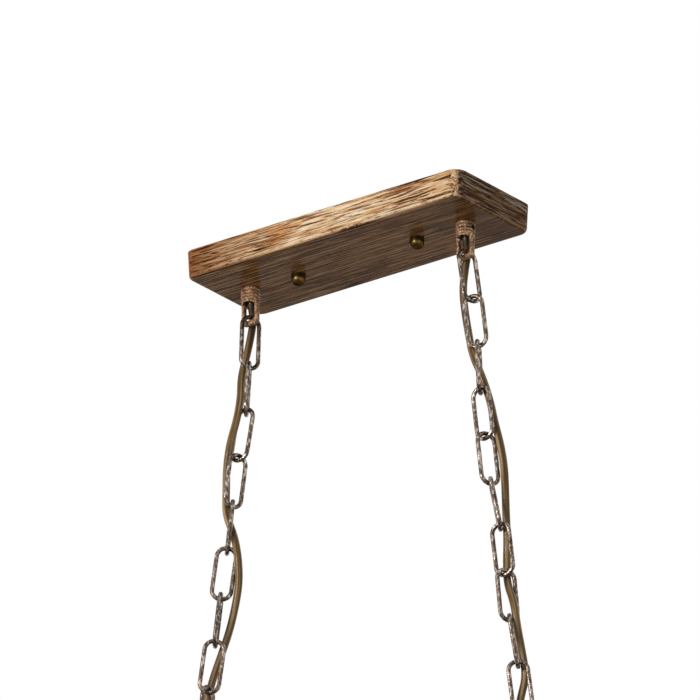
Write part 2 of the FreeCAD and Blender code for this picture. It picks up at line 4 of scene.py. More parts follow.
import bpy
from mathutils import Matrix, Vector


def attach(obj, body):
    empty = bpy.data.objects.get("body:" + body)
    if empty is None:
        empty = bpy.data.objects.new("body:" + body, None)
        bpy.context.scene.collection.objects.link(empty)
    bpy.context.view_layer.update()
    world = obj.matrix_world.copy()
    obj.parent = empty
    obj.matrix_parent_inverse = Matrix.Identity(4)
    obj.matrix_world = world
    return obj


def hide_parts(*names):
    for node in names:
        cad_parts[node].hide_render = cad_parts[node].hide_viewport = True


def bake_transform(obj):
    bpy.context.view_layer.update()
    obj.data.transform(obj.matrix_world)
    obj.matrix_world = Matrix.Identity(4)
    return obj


MM = 0.001
SIDES = {"left": -1, "right": 1}

# Sizes repeated from the model, in millimetres and degrees
CANOPY_HEIGHT = 25.5
LOOP_SPACING = 239.0
EYE_BOTTOM = 30.5
LINK_WIRE = 4.0
LINK_PITCH = 44.25
LINK_PLAY = 0.6
HANG_GAP = 1.1
FIRST_LINK_SHIFT = 0.5
LINK_LEAN = {
    "left": (1.75, 3.5, 8.8, 7.0, 5.9, 7.6, 6.4, 7.6, 7.0, 7.0),
    "right": (7.3, 6.4, 2.3, 5.9, 5.9, 10.6, 6.4, 4.7, 8.8, 7.0),
}
LEAN_TURN = 25.0

# Cord route, as in the model: how far the cord lies off the chain's line, in millimetres
CORD_R = 3.45
CORD_START_RISE = 1.0
CORD_MOUTH_DROP = 13.0
CORD_BESIDE_BAR = 5.4
CORD_OFFSETS = {
    "left": ((-5.0, 7.9), (-7.6, 5.4), (-8.5, 0.0), (-3.5, -4.7), (-3.2, -6.7), (-6.0, -7.7),
             (-8.7, -4.4), (-7.7, -1.6), (-5.9, -0.6), (5.5, 0.5), (12.6, 1.3), (12.9, 7.3),
             (9.3, 10.4), (5.6, 10.8), (1.2, 9.0), (-4.0, 8.1), (-7.8, 8.6), (-7.8, 8.3),
             (-5.9, 7.2), (-5.1, 7.5)),
    "right": ((-7.4, 6.6), (-11.5, 3.4), (-12.8, 4.3), (-13.2, 6.6), (-7.3, 1.3), (1.4, 2.4),
              (3.2, 9.0), (6.7, 7.0), (10.5, 6.7), (11.5, 7.1), (9.1, 6.4), (5.1, 6.0),
              (1.0, 7.8), (-3.9, 9.4), (-2.5, 4.6), (6.5, -0.5), (6.4, 0.1), (2.8, 6.3),
              (0.6, 10.3), (-5.7, 5.4)),
}
CORD_PAST_BAR = {"left": ((-2.4, 7.4), (-4.2, 6.5)), "right": ((-2.9, 7.4), (-7.7, 1.3))}
STRETCH_POINTS = 2
POINTS_ABOVE_CHAIN = 3
SPLINE_ORDER = 3
CORD_SIDES = 24
CORD_STEPS = 14
STRAIGHT_SHARES = (0.0, 0.3, 0.7, 1.0)

# Stripped cord ends, as in the model, in millimetres
JACKET_TOP = 7.45
NIPPLE_REACH_BELOW = 12.0
CORD_PROUD = 4.0
CORE_R = 1.0
CORE_COUNT = 3
CORE_STEP = 2.0
CORE_CREST = 3.2
CORE_FAN = 28.0
CORE_LANE_Y = 15.5
CORE_LANE_STEP = 3.0
CORE_LEVEL = {"left": 8.0, "right": 10.0}
CORE_PAIR_GAP = 1.2
CORE_IN_CONNECTOR = 8.0
CONNECTOR_SPACING = 16.0
CONNECTOR_MOUTH_Y = 25.5
CORE_SIDES = 12
CORE_PROUD = 0.3

# Dark heads on the set screws of the upper collars, near-black as painted shade in their recesses, in
# millimetres
COLLAR_R = 8.75
COLLAR_HEIGHT = 13.0
SET_RECESS_DEPTH = 1.6
SET_SCREW_R = 2.2
SET_SLOT_WIDTH = 0.6
SET_HEAD_HEIGHT = 1.2
SET_HEAD_SIDES = 16

# Camera: the photograph's viewing angle and framing, in degrees, metres, millimetres and pixels
VIEW_AZIMUTH = 37.49
VIEW_ELEVATION = -23.52
VIEW_DISTANCE = 22.0
VIEW_MM_PER_PX = 0.8828
IMAGE_PX = 700.0
SENSOR_MM = 36.0
VIEW_RIGHT_MM = -6.8
VIEW_UP_MM = -82.8

# Room and lamps, in metres and watts; a lamp's place is given along the camera's own directions, and the
# lamps that stand behind the object don't mirror in it
FLOOR_Z = -9.4
FLOOR_HALF = 15.0
FLOOR_COLOUR = (236, 236, 234)
FLOOR_ROUGH = 0.8
ROOM_LIGHT = 0.27
ROOM_SEEN = 1.0
LAMP_AIM_Z = -0.1
LAMPS = {
    "key": {"back": 1.5, "right": -1.7, "up": 0.7, "size": 0.8, "power": 41,
            "colour": (1.0, 0.98, 0.95), "mirrored": True},
    "fill": {"back": 1.6, "right": 1.6, "up": 0.1, "size": 1.4, "power": 6,
             "colour": (1.0, 1.0, 1.0), "mirrored": True},
    "rim": {"back": -1.2, "right": -0.8, "up": 1.2, "size": 1.0, "power": 12,
            "colour": (1.0, 1.0, 1.0), "mirrored": False},
    "behind": {"back": -1.6, "right": 1.2, "up": 0.2, "size": 1.4, "power": 22,
               "colour": (1.0, 1.0, 1.0), "mirrored": False},
}

# Wood: each grain's scale along and across the fibres, detail, roughness and twist
WOOD_GRAIN = {
    "fine": (34.0, 720.0, 4.0, 0.6, 0.5),
    "groove": (24.0, 460.0, 5.0, 0.66, 0.8),
    "broad": (9.0, 170.0, 4.0, 0.55, 0.6),
    "streak": (22.0, 500.0, 4.0, 0.6, 0.3),
    "cloud": (12.0, 45.0, 2.0, 0.5, 0.8),
    # Noise that breaks up the painted highlight on the rounded lower front edge
    "edge_highlight_breakup": (260.0, 420.0, 4.0, 0.65, 0.3),
    "under_fine": (18.0, 720.0, 6.0, 0.7, 0.3),
    "under_streak": (15.0, 620.0, 6.0, 0.7, 0.3),
}

# Wood: where each layer begins and is full, and its share at both where that isn't none and all
WOOD_BAND = {
    "at_end": (0.6, 0.8),
    "below": (-0.55, -0.9),
    "edge_start": (-0.12, -0.45),
    "edge_stop": (-0.95, -0.75),
    "from_left": (-0.145, -0.04),
    "from_right": (0.15, 0.11),
    "inner_share": (0.0, 1.0, 0.35, 1.0),
    "cloud": (0.3, 0.5),
    "pale": (0.44, 0.56),
    "groove_side": (0.47, 0.43, 0.0, 0.75),
    "fine": (0.47, 0.43, 0.0, 0.85),
    "groove_floor": (0.43, 0.39, 0.0, 0.95),
    # Painted highlight on the rounded lower front edge, by the noise that breaks it up
    "edge_painted_highlight": (0.47, 0.52, 0.0, 0.8),
    # Painted shade on the front's left end: where it begins and where it is full along X
    "left_end_painted_shade": (-0.05, -0.14),
    "under_fine": (0.5, 0.44, 0.0, 1.0),
    "under_streak": (0.52, 0.56, 0.0, 0.75),
    "under_right": (0.06, 0.15, 0.0, 0.45),
    "end_streak": (0.51, 0.58, 0.0, 0.8),
    "end_groove": (0.5, 0.4, 0.0, 0.95),
    "rough": (0.0, 1.0, 0.6, 0.24),
    "bump": (0.0, 1.0, 0.9, 0.12),
}
WOOD_COLOUR = {
    "pale": (248, 228, 194),
    "groove_side": (124, 70, 34),
    "fine": (120, 70, 36),
    "groove_floor": (52, 27, 12),
    # Colour of the painted highlight on the rounded lower front edge
    "edge_painted_highlight": (238, 210, 176),
    # Colour of the painted shade multiplied onto the front's left end
    "left_end_painted_shade": (172, 142, 120),
    "under_fine": (34, 18, 8),
    "under_streak": (204, 160, 112),
    "under_right": (72, 46, 27),
    "end_streak": (190, 172, 154),
    "end_groove": (30, 18, 12),
}
WOOD_BODY = ((0.34, (182, 122, 70)), (0.5, (220, 172, 120)), (0.66, (242, 206, 160)))
WOOD_UNDER = ((0.34, (112, 69, 34)), (0.66, (138, 93, 50)))
WOOD_GROOVE_RELIEF = 0.8
WOOD_FINE_RELIEF = 0.5
WOOD_BUMP_DEPTH = 0.0016
WOOD_IOR = 1.095

# Rubbed metal: scale, detail, roughness and twist of its noises, and the bands of its layers; an upright
# below one draws the specks out along the height; the chain's pale specks are rubbed wear and painted
# highlights together
RUBBED_NOISE = {
    "patch": (130.0, 4.0, 0.6, 0.3),
    "speck": (480.0, 5.0, 0.6, 0.2),
    "fleck": (1500.0, 3.0, 0.6, 0.0),
}
RUBBED_BAND = {
    "patch": (0.36, 0.64),
    "speck_dark": (0.47, 0.34, 0.0, 0.7),
    "speck_pale": (0.5, 0.62),
    "patch_pale": (0.38, 0.6),
    "fleck": (0.62, 0.74, 0.0, 0.3),
    "rough": (0.35, 0.65),
}
RUBBED_LEAST_SHARE = 0.5
RUBBED_ROUGHER = 0.12
RUBBED_SMOOTHER = 0.1
RUBBED_FLECK_RELIEF = 0.4
RUBBED_BUMP = (0.4, 0.0005)
RUBBED_IOR = 1.5
# Chain: its pale specks are rubbed wear and painted highlights together, drawn out along the wire
CHAIN_LOOK = {"dark": (64, 49, 39), "middle": (118, 101, 85), "pale": (224, 214, 202),
              "amount": 0.8, "metallic": 0.9, "rough": 0.26, "upright": 0.45}
COLLAR_LOOK = {"dark": (102, 64, 34), "middle": (164, 118, 78), "pale": (230, 206, 174),
               "amount": 0.75, "metallic": 0.3, "rough": 0.5, "upright": 1.0}

# Plain metal: noises as above, bands of the blotches and scratches, and each metal's look; edge tints its rim
PLAIN_NOISE = {"blotch": (260.0, 4.0, 0.6), "scratch": (1400.0, 3.0, 0.6)}
PLAIN_BLOTCH_BAND = (0.35, 0.65)
PLAIN_SCRATCH_BAND = (0.3, 0.7)
PLAIN_SMOOTHER = 0.08
PLAIN_ROUGHER = 0.1
PLAIN_BUMP = (0.12, 0.0002)
PLAIN_EDGE = (255, 255, 255)
BRASS_LOOK = {"dark": (70, 54, 30), "pale": (104, 82, 46), "edge": (60, 45, 25),
              "metallic": 1.0, "rough": 0.34}
ZINC_LOOK = {"dark": (150, 150, 146), "pale": (186, 186, 182), "edge": PLAIN_EDGE,
             "metallic": 0.9, "rough": 0.4}
# Set screw heads: their near-black colour is painted shade in the collar recesses
SCREW_LOOK = {"dark": (26, 22, 20), "pale": (44, 38, 34), "edge": PLAIN_EDGE,
              "metallic": 0.8, "rough": 0.4}

# Plastic: noise, band and roughness, and the colours of each part
PLASTIC_NOISE = (900.0, 3.0, 0.55)
PLASTIC_BAND = (0.3, 0.7)
PLASTIC_ROUGH = (0.38, 0.5)
PLASTIC_BUMP = (0.1, 0.0002)
CORE_COLOURS = ((122, 72, 42), (58, 92, 150), (92, 128, 52))
CORE_SHADE = 0.85
GRIP_COLOURS = ((30, 30, 30), (44, 44, 44))
CONNECTOR_COLOURS = ((196, 156, 72), (180, 140, 60))

# Cord cover: slant in degrees and scale of its weave, its colours and the streaks along it, and the painted
# shade that darkens it under the collar and in the upper eye
THREAD_SLANT = 38.0
THREAD_SCALE = 330.0
THREAD_WAVER = 0.4
THREAD_GAP_BAND = (0.7, 0.2, 0.0, 0.3)
THREAD_GAP_COLOUR = (88, 66, 36)
THREAD_BUMP = (0.12, 0.0003)
COVER_NOISE = (60.0, 3.0, 0.55)
COVER_BAND = (0.35, 0.65)
COVER_COLOURS = ((110, 83, 46), (132, 103, 60))
STREAK_STRETCH = (340.0, 7.0, 1.0)
STREAK_NOISE = (1.0, 3.0, 0.55)
STREAK_DARK_BAND = (0.5, 0.38, 0.0, 0.8)
STREAK_DARK_COLOUR = (60, 42, 20)
STREAK_PALE_BAND = (0.5, 0.62, 0.0, 0.8)
STREAK_PALE_COLOUR = (182, 156, 114)
COVER_ROUGH = 0.2
COVER_IOR = 1.28
SHADE_BELOW_EYE = 24.0
SHADE_BELOW_COLLAR = 5.0
SHADE_SHARE = 0.85
SHADE_COLOUR = (26, 22, 16)

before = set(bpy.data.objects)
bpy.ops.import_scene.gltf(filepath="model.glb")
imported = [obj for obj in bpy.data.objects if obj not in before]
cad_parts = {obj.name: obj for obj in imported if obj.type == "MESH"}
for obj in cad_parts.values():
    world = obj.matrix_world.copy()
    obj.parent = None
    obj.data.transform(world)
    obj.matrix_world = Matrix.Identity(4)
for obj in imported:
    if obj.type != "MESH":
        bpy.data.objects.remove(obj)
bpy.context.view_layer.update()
scene = bpy.context.scene


def srgb(red, green, blue):
    """Linear colour from 8-bit values as seen on screen, by the standard formula."""
    out = []
    for value in (red, green, blue):
        share = value / 255
        out.append(share / 12.92 if share <= 0.04045 else ((share + 0.055) / 1.055) ** 2.4)
    return (*out, 1.0)


class Tree:
    """Short way to write a material's node tree."""

    def __init__(self, name):
        self.material = bpy.data.materials.new(name)
        self.material.use_nodes = True
        self.nodes = self.material.node_tree.nodes
        self.links = self.material.node_tree.links
        self.shader = self.nodes["Principled BSDF"]

    def add(self, kind, inputs=(), **settings):
        """New node with its inputs and settings."""
        node = self.nodes.new(kind)
        for key, value in settings.items():
            setattr(node, key, value)
        for key, value in dict(inputs).items():
            self.put(node.inputs[key], value)
        return node

    def put(self, socket, value):
        """Links a socket to another, or sets its value."""
        if isinstance(value, bpy.types.NodeSocket):
            self.links.new(value, socket)
        else:
            socket.default_value = value

    def set(self, **inputs):
        """Sets inputs of the material's shader."""
        for key, value in inputs.items():
            self.put(self.shader.inputs[key.replace("_", " ")], value)

    def coordinate(self, name):
        """One of the texture coordinates."""
        return self.add("ShaderNodeTexCoord").outputs[name]

    def part(self, vector, axis):
        """One axis of a vector."""
        return self.add("ShaderNodeSeparateXYZ", {"Vector": vector}).outputs[axis]

    def place(self, stretch):
        """Object coordinates stretched per axis."""
        where = self.coordinate("Object")
        return self.add("ShaderNodeMapping", {"Vector": where, "Scale": stretch}).outputs["Vector"]

    def noise(self, vector, scale, detail, rough, twist=0.0):
        """Noise texture's value."""
        return self.add("ShaderNodeTexNoise", {"Vector": vector, "Scale": scale, "Detail": detail,
                                               "Roughness": rough, "Distortion": twist}).outputs["Fac"]

    def ramp(self, fac, stops):
        """Colour ramp with stops of a position and an 8-bit colour."""
        node = self.add("ShaderNodeValToRGB", {"Fac": fac})
        elements = node.color_ramp.elements
        while len(elements) < len(stops):
            elements.new(stops[1][0])
        for element, (position, colour) in zip(elements, stops):
            element.position = position
            element.color = srgb(*colour)
        return node.outputs["Color"]

    def span(self, value, low, high, to_low=0.0, to_high=1.0):
        """Value carried from one range to another and held within it."""
        return self.add("ShaderNodeMapRange", {"Value": value, "From Min": low, "From Max": high,
                                               "To Min": to_low, "To Max": to_high}).outputs["Result"]

    def math(self, operation, first, second=0.0):
        """Result of one calculation."""
        node = self.add("ShaderNodeMath", operation=operation)
        self.put(node.inputs[0], first)
        self.put(node.inputs[1], second)
        return node.outputs[0]

    def mix(self, fac, first, second, blend="MIX"):
        """Mix of two colours."""
        node = self.add("ShaderNodeMix", data_type="RGBA", blend_type=blend)
        self.put(node.inputs["Factor"], fac)
        self.put(node.inputs["A"], first)
        self.put(node.inputs["B"], second)
        return node.outputs["Result"]

    def bump(self, height, strength, distance):
        """Normal of a bumpy surface."""
        return self.add("ShaderNodeBump", {"Height": height, "Strength": strength,
                                           "Distance": distance}).outputs["Normal"]


def wood():
    """Wire-brushed wood: long dark grooves and cream brushed ridges along each face, satin underneath."""
    tree = Tree("brushed_wood")
    normal = tree.coordinate("Normal")
    faces_down = tree.part(normal, "Z")
    across_x = tree.part(tree.coordinate("Object"), "X")

    def band(value, key):
        return tree.span(value, *WOOD_BAND[key])

    def over(base, value, key):
        return tree.mix(band(value, key), base, srgb(*WOOD_COLOUR[key]))

    at_end = band(tree.math("ABSOLUTE", tree.part(normal, "X")), "at_end")
    below = band(faces_down, "below")
    lower_edge = tree.math("MULTIPLY", band(faces_down, "edge_start"), band(faces_down, "edge_stop"))
    inwards = tree.math("MULTIPLY", band(across_x, "from_left"), band(across_x, "from_right"))

    grain = {}
    for key, (along, across, detail, rough, twist) in WOOD_GRAIN.items():
        long_way = tree.noise(tree.place((along, across, across)), 1.0, detail, rough, twist)
        end_way = tree.noise(tree.place((across, along, across)), 1.0, detail, rough, twist)
        grain[key] = tree.mix(at_end, long_way, end_way)

    weight = tree.math("MULTIPLY", band(grain["cloud"], "cloud"), band(inwards, "inner_share"))
    pale = tree.math("MULTIPLY", band(grain["streak"], "pale"), weight)
    front = tree.mix(pale, tree.ramp(grain["broad"], WOOD_BODY), srgb(*WOOD_COLOUR["pale"]))
    front = over(front, grain["groove"], "groove_side")
    front = over(front, grain["fine"], "fine")
    front = over(front, grain["groove"], "groove_floor")
    # Painted highlight: pale cream on the rounded lower front edge, broken up by a fine noise
    edge_highlight_share = tree.math("MULTIPLY", lower_edge, band(grain["edge_highlight_breakup"], "edge_painted_highlight"))
    front = tree.mix(edge_highlight_share, front, srgb(*WOOD_COLOUR["edge_painted_highlight"]))
    # Painted shade: the front darkens towards its left end
    front = tree.mix(band(across_x, "left_end_painted_shade"), front, srgb(*WOOD_COLOUR["left_end_painted_shade"]), "MULTIPLY")

    under = tree.ramp(grain["broad"], WOOD_UNDER)
    under = over(under, grain["under_fine"], "under_fine")
    under = over(under, grain["under_streak"], "under_streak")
    under = over(under, across_x, "under_right")
    ends = over(under, grain["streak"], "end_streak")
    ends = over(ends, grain["groove"], "end_groove")
    tree.set(Base_Color=tree.mix(below, tree.mix(at_end, front, ends), under))

    groove_relief = tree.math("MULTIPLY", grain["groove"], WOOD_GROOVE_RELIEF)
    fine_relief = tree.math("MULTIPLY", grain["fine"], WOOD_FINE_RELIEF)
    relief = tree.math("ADD", groove_relief, fine_relief)
    tree.set(IOR=WOOD_IOR, Roughness=band(below, "rough"))
    tree.set(Normal=tree.bump(relief, band(below, "bump"), WOOD_BUMP_DEPTH))
    return tree.material


def rubbed_metal(name, look):
    """Aged metal with a dark patina rubbed pale in specks and patches; on the chain the pale specks are also
    painted highlights.
    """
    tree = Tree(name)
    place = tree.place((1.0, 1.0, look["upright"]))
    patch, speck, fleck = (tree.noise(place, *RUBBED_NOISE[key]) for key in ("patch", "speck", "fleck"))
    dark, middle, pale = (srgb(*look[key]) for key in ("dark", "middle", "pale"))

    def band(value, key, *shares):
        return tree.span(value, *RUBBED_BAND[key], *shares)

    colour = tree.mix(band(patch, "patch"), dark, middle)
    colour = tree.mix(band(speck, "speck_dark"), colour, dark)
    in_patch = band(patch, "patch_pale", look["amount"] * RUBBED_LEAST_SHARE, look["amount"])
    colour = tree.mix(tree.math("MULTIPLY", band(speck, "speck_pale"), in_patch), colour, pale)
    colour = tree.mix(band(fleck, "fleck"), colour, pale)
    rough = band(speck, "rough", look["rough"] + RUBBED_ROUGHER, look["rough"] - RUBBED_SMOOTHER)
    tree.set(Base_Color=colour, Metallic=look["metallic"], IOR=RUBBED_IOR, Roughness=rough)
    relief = tree.math("ADD", speck, tree.math("MULTIPLY", fleck, RUBBED_FLECK_RELIEF))
    tree.set(Normal=tree.bump(relief, *RUBBED_BUMP))
    return tree.material


def plain_metal(name, look):
    """Plated or aged metal with faint blotches and fine scratches."""
    tree = Tree(name)
    place = tree.coordinate("Object")
    blotch = tree.noise(place, *PLAIN_NOISE["blotch"])
    scratch = tree.noise(place, *PLAIN_NOISE["scratch"])
    colour = tree.mix(tree.span(blotch, *PLAIN_BLOTCH_BAND), srgb(*look["dark"]), srgb(*look["pale"]))
    smooth = look["rough"] - PLAIN_SMOOTHER
    rough = tree.span(scratch, *PLAIN_SCRATCH_BAND, smooth, look["rough"] + PLAIN_ROUGHER)
    tree.set(Base_Color=colour, Metallic=look["metallic"], Roughness=rough, Specular_Tint=srgb(*look["edge"]))
    tree.set(Normal=tree.bump(scratch, *PLAIN_BUMP))
    return tree.material


def plastic(name, colour, shade):
    """Moulded plastic with a faint texture."""
    tree = Tree(name)
    fine = tree.noise(tree.coordinate("Object"), *PLASTIC_NOISE)
    tree.set(Base_Color=tree.mix(tree.span(fine, *PLASTIC_BAND), srgb(*colour), srgb(*shade)))
    tree.set(Roughness=tree.span(fine, *PLASTIC_BAND, *PLASTIC_ROUGH))
    tree.set(Normal=tree.bump(fine, *PLASTIC_BUMP))
    return tree.material


def cord_cover():
    """Satin cord cover: pale and dark threads along the cord under a faint slanted weave.

    It is darker in and under the upper eye: painted shade.
    """
    tree = Tree("cord_cover")
    lengths = tree.coordinate("UV")

    def threads(slant):
        turn = (0.0, 0.0, math.radians(slant))
        turned = tree.add("ShaderNodeMapping", {"Vector": lengths, "Rotation": turn})
        return tree.add("ShaderNodeTexWave", {"Vector": turned.outputs["Vector"], "Scale": THREAD_SCALE,
                                              "Distortion": THREAD_WAVER}, bands_direction="X").outputs["Fac"]

    weave = tree.math("MAXIMUM", threads(THREAD_SLANT), threads(-THREAD_SLANT))
    place = tree.coordinate("Object")
    blotch = tree.noise(place, *COVER_NOISE)
    dark, pale = (srgb(*colour) for colour in COVER_COLOURS)
    colour = tree.mix(tree.span(blotch, *COVER_BAND), dark, pale)
    along = tree.add("ShaderNodeMapping", {"Vector": lengths, "Scale": STREAK_STRETCH})
    streak = tree.noise(along.outputs["Vector"], *STREAK_NOISE)
    colour = tree.mix(tree.span(streak, *STREAK_DARK_BAND), colour, srgb(*STREAK_DARK_COLOUR))
    colour = tree.mix(tree.span(streak, *STREAK_PALE_BAND), colour, srgb(*STREAK_PALE_COLOUR))
    colour = tree.mix(tree.span(weave, *THREAD_GAP_BAND), colour, srgb(*THREAD_GAP_COLOUR))
    # Painted shade: the cover darkens from below the upper eye up to just under the collar, standing in for
    # the eye's shadow
    shade_start = -(CANOPY_HEIGHT + EYE_BOTTOM + SHADE_BELOW_EYE) * MM
    shade_full = -(CANOPY_HEIGHT + COLLAR_HEIGHT + SHADE_BELOW_COLLAR) * MM
    shade = tree.span(tree.part(place, "Z"), shade_start, shade_full, 0.0, SHADE_SHARE)
    colour = tree.mix(shade, colour, srgb(*SHADE_COLOUR))
    tree.set(Base_Color=colour, Roughness=COVER_ROUGH, IOR=COVER_IOR)
    tree.set(Normal=tree.bump(weave, *THREAD_BUMP))
    return tree.material


def dress(names, material):
    """Gives CAD nodes a finished material."""
    for name in names:
        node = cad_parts[name]
        node.data.materials.clear()
        node.data.materials.append(material)


def link_names(side):
    """Names of a chain's links from the top, which are both nodes and bodies."""
    return ["%s_link_%02d" % (side, number) for number in range(1, len(LINK_LEAN[side]) + 1)]


def chain_tops(side):
    """Top wire centre and downward direction of each link, in millimetres."""
    top = Vector((SIDES[side] * LOOP_SPACING / 2 + FIRST_LINK_SHIFT, 0,
                  -CANOPY_HEIGHT - EYE_BOTTOM + LINK_WIRE / 2 + HANG_GAP))
    turn = math.radians(LEAN_TURN)
    links = []
    for lean in LINK_LEAN[side]:
        angle = math.radians(lean)
        out = SIDES[side] * math.sin(angle)
        along = Vector((out * math.cos(turn), out * math.sin(turn), -math.cos(angle)))
        links.append((top, along))
        top = top + along * LINK_PITCH
    return links


def lower_seat(side):
    """Seat of the lower loop under the last link, in millimetres."""
    top, along = chain_tops(side)[-1]
    foot = top + along * (LINK_PITCH + LINK_PLAY + LINK_WIRE)
    return foot + Vector((0, 0, LINK_WIRE / 2 + HANG_GAP - EYE_BOTTOM))


def cord_route(side):
    """The cord's route points, in metres."""
    axis_x = SIDES[side] * LOOP_SPACING / 2
    (near_x, near_y), (far_x, far_y) = CORD_PAST_BAR[side]
    points = [
        Vector((axis_x, 0, -CANOPY_HEIGHT + CORD_START_RISE)),
        Vector((axis_x, 0, -CANOPY_HEIGHT - CORD_MOUTH_DROP)),
        Vector((axis_x + near_x, near_y, -CANOPY_HEIGHT - EYE_BOTTOM + CORD_BESIDE_BAR)),
    ]
    links = chain_tops(side)
    for number, (off_x, off_y) in enumerate(CORD_OFFSETS[side]):
        top, along = links[number // STRETCH_POINTS]
        share = (number % STRETCH_POINTS + 0.5) / STRETCH_POINTS
        points.append(top + along * (LINK_PITCH * share) + Vector((off_x, off_y, 0)))
    seat = lower_seat(side)
    points.append(seat + Vector((far_x, far_y, EYE_BOTTOM - CORD_BESIDE_BAR)))
    points.append(seat + Vector((0, 0, CORD_MOUTH_DROP)))
    points.append(seat - Vector((0, 0, CORD_START_RISE)))
    return [point * MM for point in points]


def smooth_line(points, steps):
    """Points along the smooth spline that has the given control points."""
    curve = bpy.data.curves.new("route", "CURVE")
    curve.dimensions = "3D"
    spline = curve.splines.new("NURBS")
    spline.points.add(len(points) - 1)
    for target, point in zip(spline.points, points):
        target.co = (*point, 1.0)
    spline.order_u = SPLINE_ORDER
    spline.use_endpoint_u = True
    spline.resolution_u = steps
    holder = bpy.data.objects.new("route", curve)
    scene.collection.objects.link(holder)
    bpy.context.view_layer.update()
    mesh = bpy.data.meshes.new_from_object(holder)
    line = [vertex.co.copy() for vertex in mesh.vertices]
    bpy.data.objects.remove(holder)
    bpy.data.curves.remove(curve)
    bpy.data.meshes.remove(mesh)
    return line


def rings_along(line, radius, sides):
    """One ring of points per point of a line, carried along without twist, and the length so far."""
    rings = []
    reach = []
    side = Vector((1, 0, 0))
    done = 0.0
    for place, point in enumerate(line):
        ahead = line[min(place + 1, len(line) - 1)] - line[max(place - 1, 0)]
        ahead.normalize()
        side = (side - ahead * side.dot(ahead)).normalized()
        other = ahead.cross(side)
        if place:
            done += (point - line[place - 1]).length
        ring = []
        for corner in range(sides):
            angle = 2 * math.pi * corner / sides
            ring.append(point + side * (radius * math.cos(angle)) + other * (radius * math.sin(angle)))
        rings.append(ring)
        reach.append(done)
    return rings, reach


def shown(name, mesh, material):
    """Puts a mesh into the scene with its material."""
    mesh.materials.append(material)
    piece = bpy.data.objects.new(name, mesh)
    scene.collection.objects.link(piece)
    return piece


def tube_piece(name, rings, reach, radius, material):
    """Closed mesh tube through rings, with lengths in metres as its texture coordinates."""
    sides = len(rings[0])
    verts = [point for ring in rings for point in ring]
    faces = []
    coords = []
    for row in range(len(rings) - 1):
        here = row * sides
        ahead = here + sides
        for corner in range(sides):
            following = (corner + 1) % sides
            faces.append((here + corner, here + following, ahead + following, ahead + corner))
            left = 2 * math.pi * radius * corner / sides
            right = 2 * math.pi * radius * (corner + 1) / sides
            coords += [(left, reach[row]), (right, reach[row])]
            coords += [(right, reach[row + 1]), (left, reach[row + 1])]
    for ring, start in ((rings[0], len(verts)), (rings[-1], len(verts) + sides)):
        verts += ring
        faces.append(tuple(range(start, start + sides)))
        coords += [(0.0, 0.0)] * sides
    mesh = bpy.data.meshes.new(name)
    mesh.from_pydata(verts, [], faces)
    layer = mesh.uv_layers.new(name="lengths")
    for loop, value in zip(layer.data, coords):
        loop.uv = value
    for face in mesh.polygons[:-2]:
        face.use_smooth = True
    return shown(name, mesh, material)


def build_cord(side, material):
    """The free cord as one stretch per joint, cut near the middle of each link."""
    route = cord_route(side)
    line = smooth_line(route, CORD_STEPS)
    rings, reach = rings_along(line, CORD_R * MM, CORD_SIDES)
    cuts = [0]
    for number in range(len(LINK_LEAN[side])):
        first = POINTS_ABOVE_CHAIN + STRETCH_POINTS * number
        middle = (route[first] + route[first + 1]) / 2
        cuts.append(min(range(len(line)), key=lambda place: (line[place] - middle).length))
    cuts.append(len(line) - 1)
    for number, (start, end) in enumerate(zip(cuts, cuts[1:]), 1):
        name = "%s_cord_cover_%02d" % (side, number)
        piece = tube_piece(name, rings[start:end + 1], reach[start:end + 1], CORD_R * MM, material)
        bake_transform(piece)
        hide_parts("%s_cord_%02d" % (side, number))


def core_route(side, index):
    """One core from the cord's stripped end to its connector, in metres."""
    sign = SIDES[side]
    axis_x = sign * LOOP_SPACING / 2
    middle = (CORE_COUNT - 1) / 2
    offset = (index - middle) * CORE_STEP
    lane = CORE_LANE_Y + index * CORE_LANE_STEP
    level = -CORE_LEVEL[side]
    goal = sign * (index - middle) * CONNECTOR_SPACING + sign * CORE_PAIR_GAP
    points = [
        Vector((axis_x, offset, -JACKET_TOP)),
        Vector((axis_x, offset, -CORE_CREST)),
        Vector((axis_x - sign * CORE_FAN, lane, level)),
        Vector((goal, lane, level)),
        Vector((goal, CONNECTOR_MOUTH_Y + CORE_IN_CONNECTOR, level)),
    ]
    return [point * MM for point in points]


def straight_piece(name, top, bottom, radius, sides, material):
    """Straight round piece between two points, in millimetres."""
    line = [(top + (bottom - top) * share) * MM for share in STRAIGHT_SHARES]
    rings, reach = rings_along(line, radius * MM, sides)
    return tube_piece(name, rings, reach, radius * MM, material)


